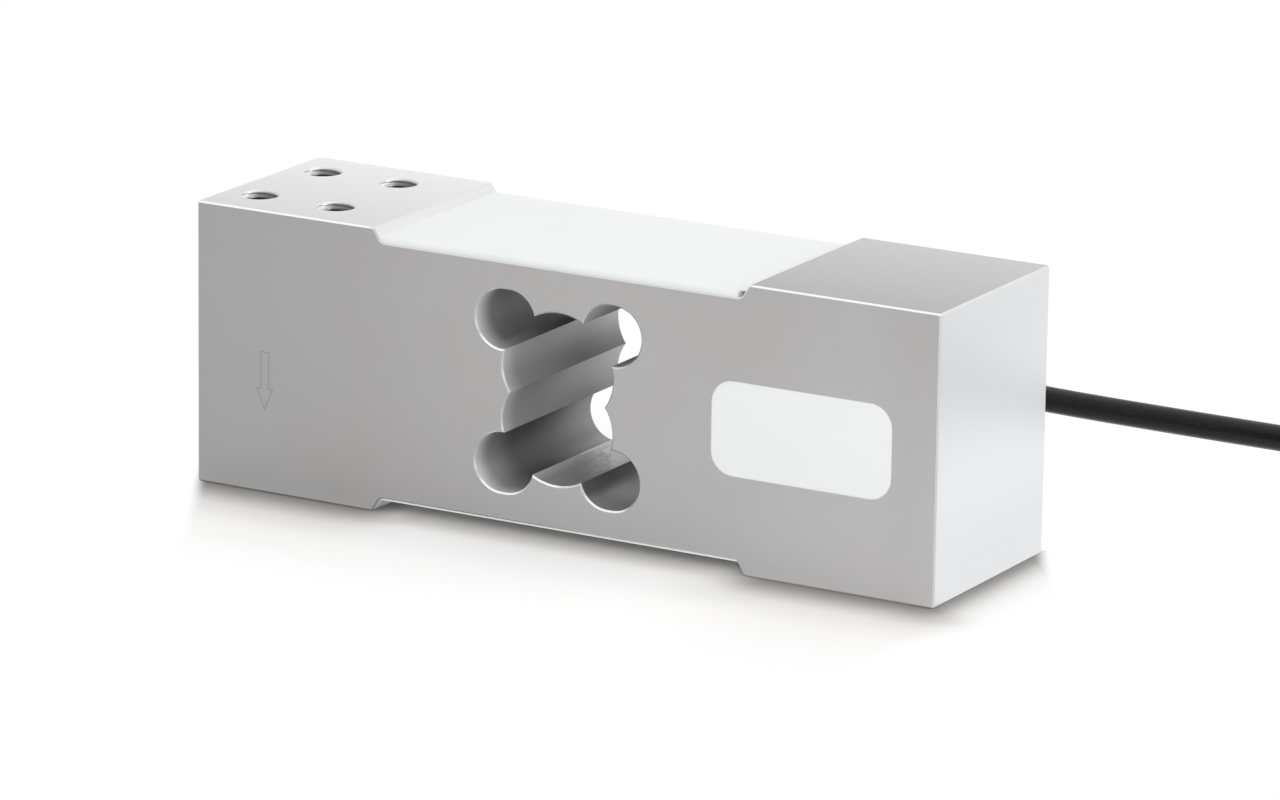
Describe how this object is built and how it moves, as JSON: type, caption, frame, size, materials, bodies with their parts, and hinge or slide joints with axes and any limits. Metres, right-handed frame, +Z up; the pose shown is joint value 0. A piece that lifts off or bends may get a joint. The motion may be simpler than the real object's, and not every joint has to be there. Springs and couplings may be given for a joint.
{
  "type": "single point load cell",
  "caption": "Rectangular aluminium beam load cell with a bored bending opening, potted gauge recesses, tapped mounting holes at both ends and a round signal cable.",
  "frame": {"origin": "middle of the block's underside, on the plane of its two lower pads", "axes": "+X along the block towards the wiring pocket, +Y towards the face that the cable leaves, +Z up through the loaded pad"},
  "size_m": [0.3341, 0.1072, 0.061],
  "materials": {
    "machined_aluminium": "fine milled, broken edges",
    "white_potting": "soft satin compound",
    "gauge_film": "amber film with metal foil",
    "terminal_film": "glass fibre laminate with copper pads",
    "tinned_wire": "tinned copper",
    "lead_insulation": "thin insulation",
    "board_laminate": "glass fibre laminate with copper pads",
    "chip_ceramic": "dark ceramic",
    "cable_jacket": "satin black jacket",
    "boot_rubber": "matt black rubber",
    "ferrule_brass": "crimped",
    "black_insulation": "smooth",
    "red_insulation": "smooth",
    "white_insulation": "smooth",
    "green_insulation": "smooth"
  },
  "bodies": {
    "root": {"spring_body": "machined_aluminium", "upper_gauge_potting": "white_potting", "lower_gauge_potting": "white_potting", "pocket_potting": "white_potting", "upper_left_strain_gauge": "gauge_film", "upper_right_strain_gauge": "gauge_film", "lower_left_strain_gauge": "gauge_film", "lower_right_strain_gauge": "gauge_film", "upper_terminal_strip": "terminal_film", "lower_terminal_strip": "terminal_film", "upper_jumper_wires": "tinned_wire", "lower_jumper_wires": "tinned_wire", "upper_lead_wires": "lead_insulation", "lower_lead_wires": "lead_insulation", "bridge_board": "board_laminate", "trim_resistors": "chip_ceramic", "black_conductor": "black_insulation", "red_conductor": "red_insulation", "white_conductor": "white_insulation", "green_conductor": "green_insulation", "cable_ferrule": "ferrule_brass", "cable_boot": "boot_rubber", "cable_inlet": "cable_jacket", "cable_run": "cable_jacket", "cable_coil": "cable_jacket", "coil_tie": "boot_rubber", "cable_tail": "cable_jacket", "cable_end_sleeve": "boot_rubber", "black_lead": "black_insulation", "red_lead": "red_insulation", "white_lead": "white_insulation", "green_lead": "green_insulation", "tinned_tips": "tinned_wire", "screen_lead": "tinned_wire"}
  },
  "joints": []
}
